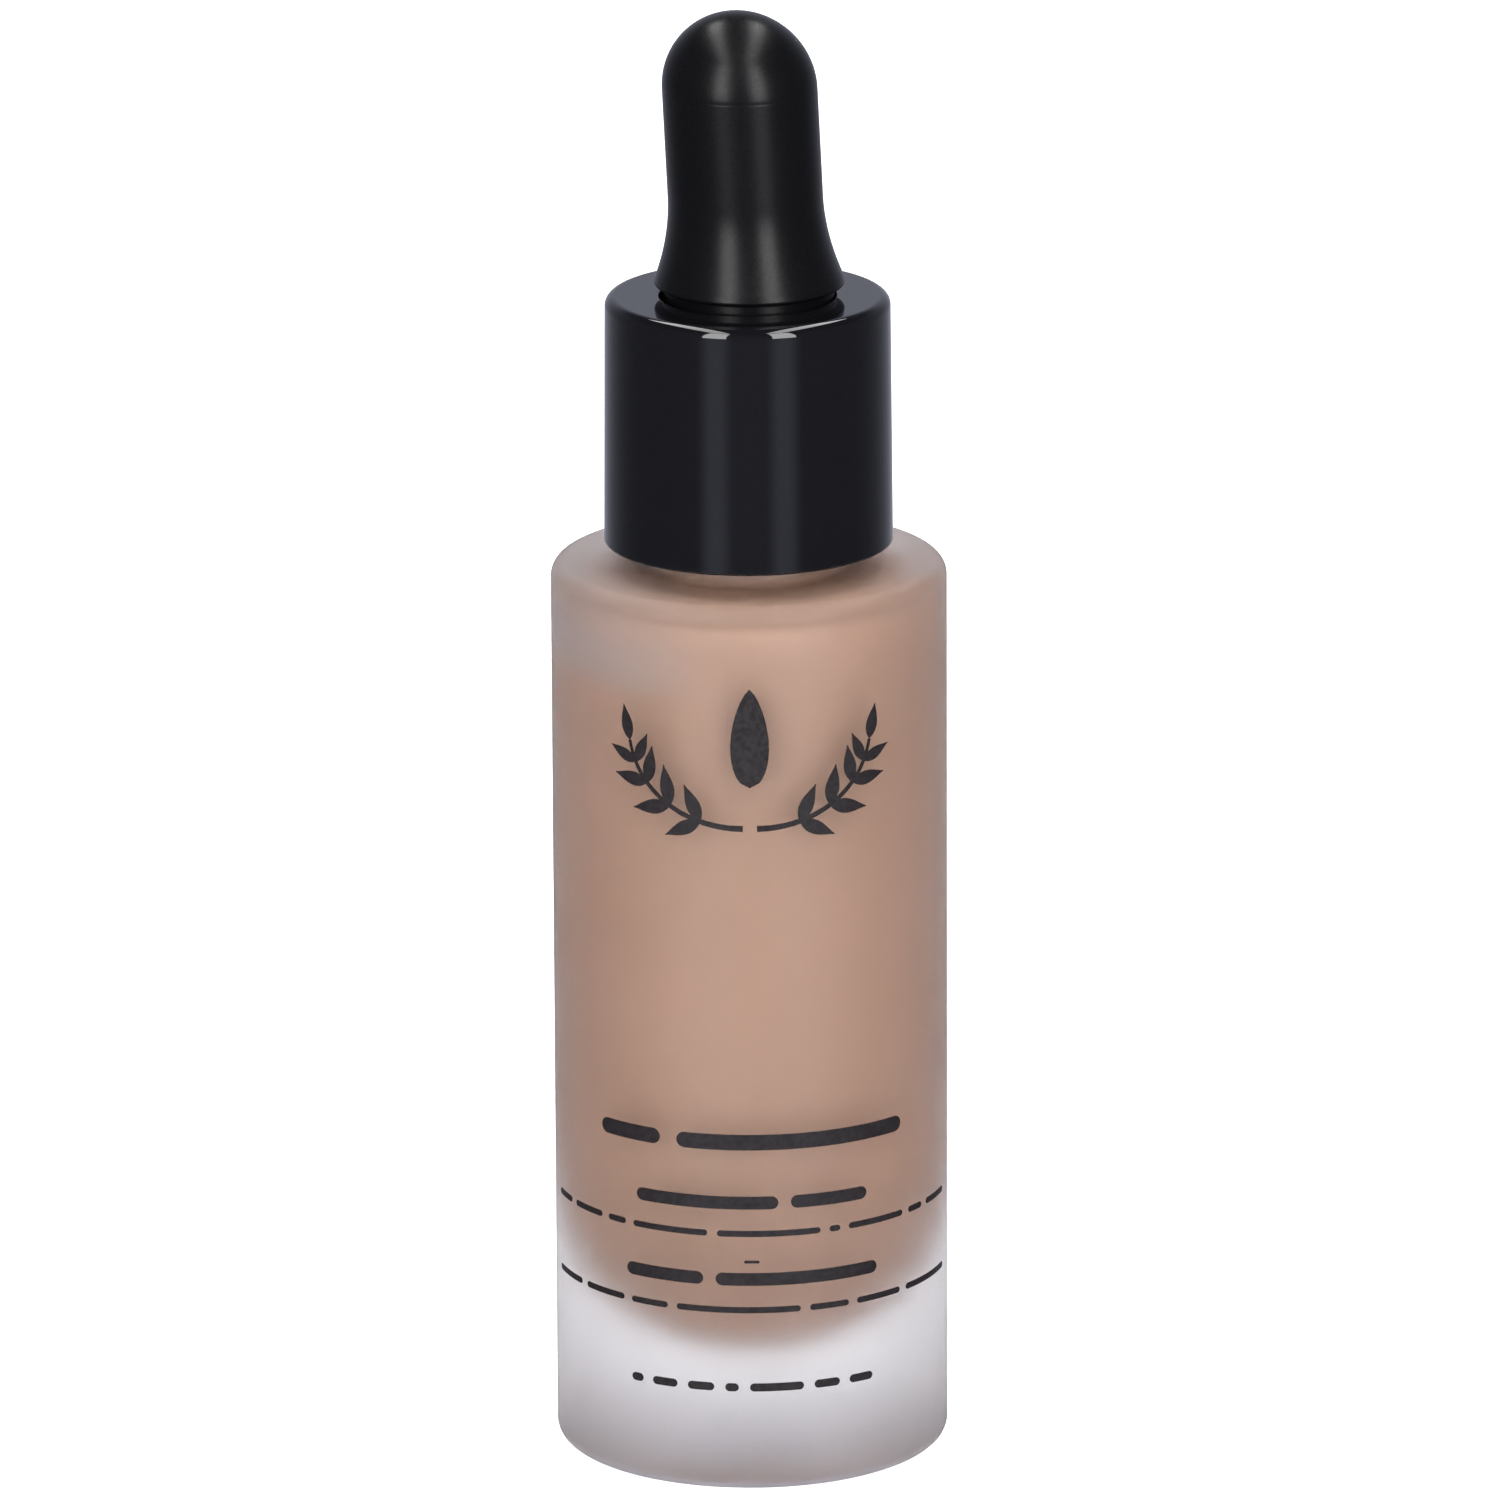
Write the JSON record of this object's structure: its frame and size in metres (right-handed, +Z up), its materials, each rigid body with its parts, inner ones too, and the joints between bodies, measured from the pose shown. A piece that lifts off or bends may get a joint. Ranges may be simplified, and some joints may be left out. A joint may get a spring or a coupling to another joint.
{
  "type": "foundation bottle",
  "caption": "Frosted glass cylinder of liquid foundation with a screw-on dropper: glossy black collar, rubber squeeze bulb and glass pipette.",
  "frame": {"origin": "middle of the bottle's base, on the surface it stands on", "axes": "+Z up along the bottle's axis, towards the dropper's bulb; -Y is the printed front"},
  "size_m": [0.0282, 0.0282, 0.1052],
  "materials": {
    "frosted_glass": "satin",
    "foundation": "satin",
    "wiper_plastic": "satin",
    "clear_glass": "polished",
    "bulb_rubber": "matte",
    "closure_plastic": "satin",
    "collar_plastic": "gloss"
  },
  "bodies": {
    "bottle": {"glass_bottle": "frosted_glass", "foundation_fluid": "foundation", "neck_wiper": "wiper_plastic"},
    "dropper": {"glass_pipette": "clear_glass", "fluid_in_pipette": "foundation"},
    "bulb": {"rubber_bulb": "bulb_rubber"},
    "cap": {"screw_closure": "closure_plastic", "collar_shell": "collar_plastic"}
  },
  "joints": [
    {"name": "dropper_lift", "type": "slide", "parent": "bottle", "child": "dropper", "axis": [0, 0, 1], "range_m": [0, 0.08]},
    {"name": "cap_turn", "type": "hinge", "parent": "dropper", "child": "cap", "pos_m": [0, 0, 0.0757], "axis": [0, 0, 1], "continuous": true},
    {"name": "bulb_squeeze", "type": "slide", "parent": "dropper", "child": "bulb", "axis": [0, 1, 0], "range_m": [0, 0.0022], "stiffness_N_per_m": 500, "deforming": ["rubber_bulb"]}
  ],
  "couplings": [
    {"joint": "cap_turn", "follows": "dropper_lift", "rad_per_m": 2968.4}
  ]
}
